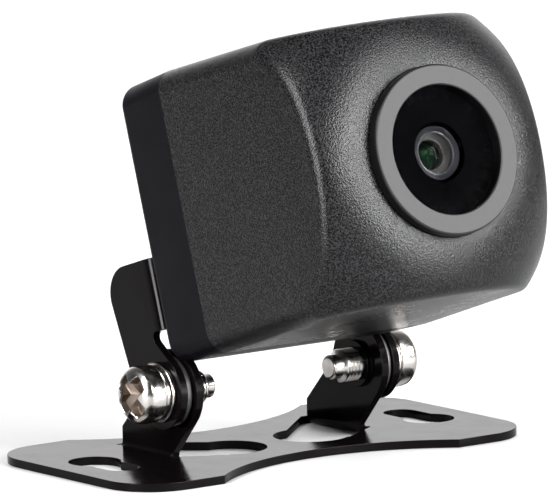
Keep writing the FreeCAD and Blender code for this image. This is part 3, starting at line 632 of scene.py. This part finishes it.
def edge_rounded(node, body, material, width):
    """A copy of a CAD node with its sharp edges broken, as tumbling or moulding leaves them."""
    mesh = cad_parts[node].data.copy()
    bm = bmesh.new()
    bm.from_mesh(mesh)
    bmesh.ops.remove_doubles(bm, verts=bm.verts, dist=1e-6)
    bmesh.ops.dissolve_limit(bm, angle_limit=math.radians(1), verts=bm.verts, edges=bm.edges)
    bm.to_mesh(mesh)
    bm.free()
    mesh.materials.clear()
    smooth(mesh, math.radians(30))
    rough = add_object(node + "_rough", mesh, material)
    bevel = rough.modifiers.new("edges", "BEVEL")
    bevel.width = width
    bevel.segments = 3
    bevel.limit_method = "ANGLE"
    bevel.angle_limit = math.radians(38)
    bevel.harden_normals = True
    rounded = bpy.data.meshes.new_from_object(
        rough.evaluated_get(bpy.context.evaluated_depsgraph_get()))
    bpy.data.objects.remove(rough)
    rounded.materials.clear()
    piece = add_object(node + "_finished", rounded, material)
    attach(piece, body)
    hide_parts(node)


# ---- what is carried over from the CAD -----------------------------------------------------------

def dress(node, material):
    """Give a carried-over CAD node its finish."""
    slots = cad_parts[node].data.materials
    slots.clear()
    slots.append(material)


def dress_all():
    finishes = {
        BLACK_SCREW: ["bracket_screws", "housing_screws"],
        RUBBER: ["housing_seal", "screw_seals", "window_seal", "cable_gland"],
        BARREL: ["aperture_stop", "lens_holder", "lens_lock_ring"],
        SPACER: ["lens_spacers"],
        MASK: ["light_mask"],
        RING: ["lens_ring"],
        BRASS: ["board_spacers"],
        SMALL_STEEL: ["holder_screws", "board_screws"],
        BOARD: ["sensor_board", "power_board"],
        CHIP: ["image_sensor", "signal_processor", "voltage_regulator"],
        NYLON: ["board_header", "cable_header", "gland_ring"],
        FERRITE: ["power_inductor"],
        CAN: ["filter_capacitor"],
        CERAMIC: ["small_components"],
        WINDOW_GLASS: ["cover_glass"],
        LENS_GLASS: ["third_lens", "rear_lens"],
        FILTER_GLASS: ["ir_cut_filter", "sensor_glass"],
    }
    for material, nodes in finishes.items():
        for node in nodes:
            dress(node, material)


GRAINED = grained_plastic()
SMOOTH = smooth_plastic()
BLACK_PAINT = black_paint()
BLACK_SCREW = speckled("black_screw", (0.012, 0.012, 0.012), (0.03, 0.03, 0.03), 0.3, metallic=0.6)
BRIGHT_STEEL = bright_steel()
# a darker, duller steel painted on the recess walls as painted shade
RECESS_SHADE_STEEL = bright_steel("recess_shade_steel", (0.15, 0.12, 0.1), 0.38)
SMALL_STEEL = bright_steel("small_steel", (0.6, 0.6, 0.6), 0.22)
RUBBER = rubber()
RING = ring_finish()
BARREL = matt_black("barrel_black", (0.005, 0.005, 0.006), 0.3, 1.25)
NOSE = matt_black("nose_black", (0.003, 0.003, 0.004), 0.14, 1.25)
MASK = matt_black("mask_black", (0.001, 0.001, 0.0012), 0.2, 1.03)
DARK_METAL = speckled("dark_metal", (0.06, 0.06, 0.065), (0.1, 0.1, 0.105), 0.2, metallic=1.0)
BRASS = speckled("brass", (0.6, 0.42, 0.17), (0.75, 0.56, 0.27), 0.28, metallic=1.0)
BOARD = speckled("board", (0.01, 0.09, 0.035), (0.015, 0.14, 0.05), 0.35)
CHIP = speckled("chip", (0.012, 0.012, 0.013), (0.022, 0.022, 0.024), 0.5)
NYLON = speckled("nylon", (0.62, 0.6, 0.52), (0.7, 0.68, 0.6), 0.45)
FERRITE = speckled("ferrite", (0.05, 0.05, 0.053), (0.09, 0.09, 0.095), 0.6)
CAN = speckled("can", (0.6, 0.6, 0.61), (0.72, 0.72, 0.73), 0.25, metallic=1.0)
CERAMIC = speckled("ceramic", (0.4, 0.3, 0.18), (0.55, 0.44, 0.28), 0.4)
WINDOW_GLASS = clear_glass("window_glass", (0.98, 0.98, 1.0), 1.05)
LENS_GLASS = clear_glass("lens_glass", (0.95, 0.98, 0.96), 1.14)
FILTER_GLASS = clear_glass("filter_glass", (0.8, 0.9, 1.0), 1.3)
DOME = coated_dome()
SPACER = speckled("spacer", (0.035, 0.03, 0.027), (0.045, 0.039, 0.035), 0.5)

make_camera()
make_stage()
make_world()
area_light("key", 8, 26, 1.0, (0.3, 0.3), 21)
area_light("low", 24, 6, 1.0, (0.3, 0.3), 19)
area_light("high", 30, 40, 1.0, (0.3, 0.3), 11)
area_light("right", 54, 22, 1.0, (0.25, 0.25), 9)
area_light("strip", -82, 24, 0.7, (0.18, 0.85), 23)
area_light("spark", 51, 12, 0.9, (0.05, 0.05), 2.0)
back = area_light("back", 144, 75, 0.65, (0.5, 0.5), 9.5, aim=Vector((0.28, 0.38, 0)))
back.visible_glossy = False

dress_all()
edge_rounded("base_bracket", "base", BLACK_PAINT, 0.16 * MM)
edge_rounded("camera_bracket", "camera", BLACK_PAINT, 0.16 * MM)
edge_rounded("front_housing", "camera", GRAINED, 0.1 * MM)
edge_rounded("rear_cover", "camera", SMOOTH, 0.1 * MM)
turned_piece("lens_nose", "lens_barrel", NOSE, [
    (31.2, 1.8), (32.4, 1.8), (32.4, 2.5), (40.35, 2.5), (40.35, 2.65), (40.7, 2.65),
    (40.95, 2.75), (40.95, 3.1), (40.85, 3.2), (38.85, 3.2), (37.95, 3.7), (37.65, 4.0),
    (31.6, 4.0), (31.2, 3.6)], 0.07)
turned_piece("lens_front_ring", "lens_retaining_ring", DARK_METAL, [
    (40.35, 2.4), (40.65, 2.4), (40.65, 2.63), (40.35, 2.63)], 0.1)
glass("front_lens_glass", "front_lens", "lens_glass", LENS_GLASS, 40.3, 2.45, 0.95, 39.3)
glass("second_lens_glass", "second_lens", "lens_glass", DOME, 38.3, 1.64, 0.9, 37.5)
for side, name in ((-1, "left"), (1, "right")):
    pivot_screw(side, name)
    split_washer(side, name)
    washer(name + "_flat_washer_disc", name + "_washers", name + "_flat_washer", side,
           16.03, 16.53, 3.58, BRIGHT_STEEL)
    washer(name + "_friction_disc", "camera", name + "_friction_washer", side,
           14.1, 14.98, 4.18, RUBBER, 0.2)

bpy.context.scene.view_settings.view_transform = "Standard"
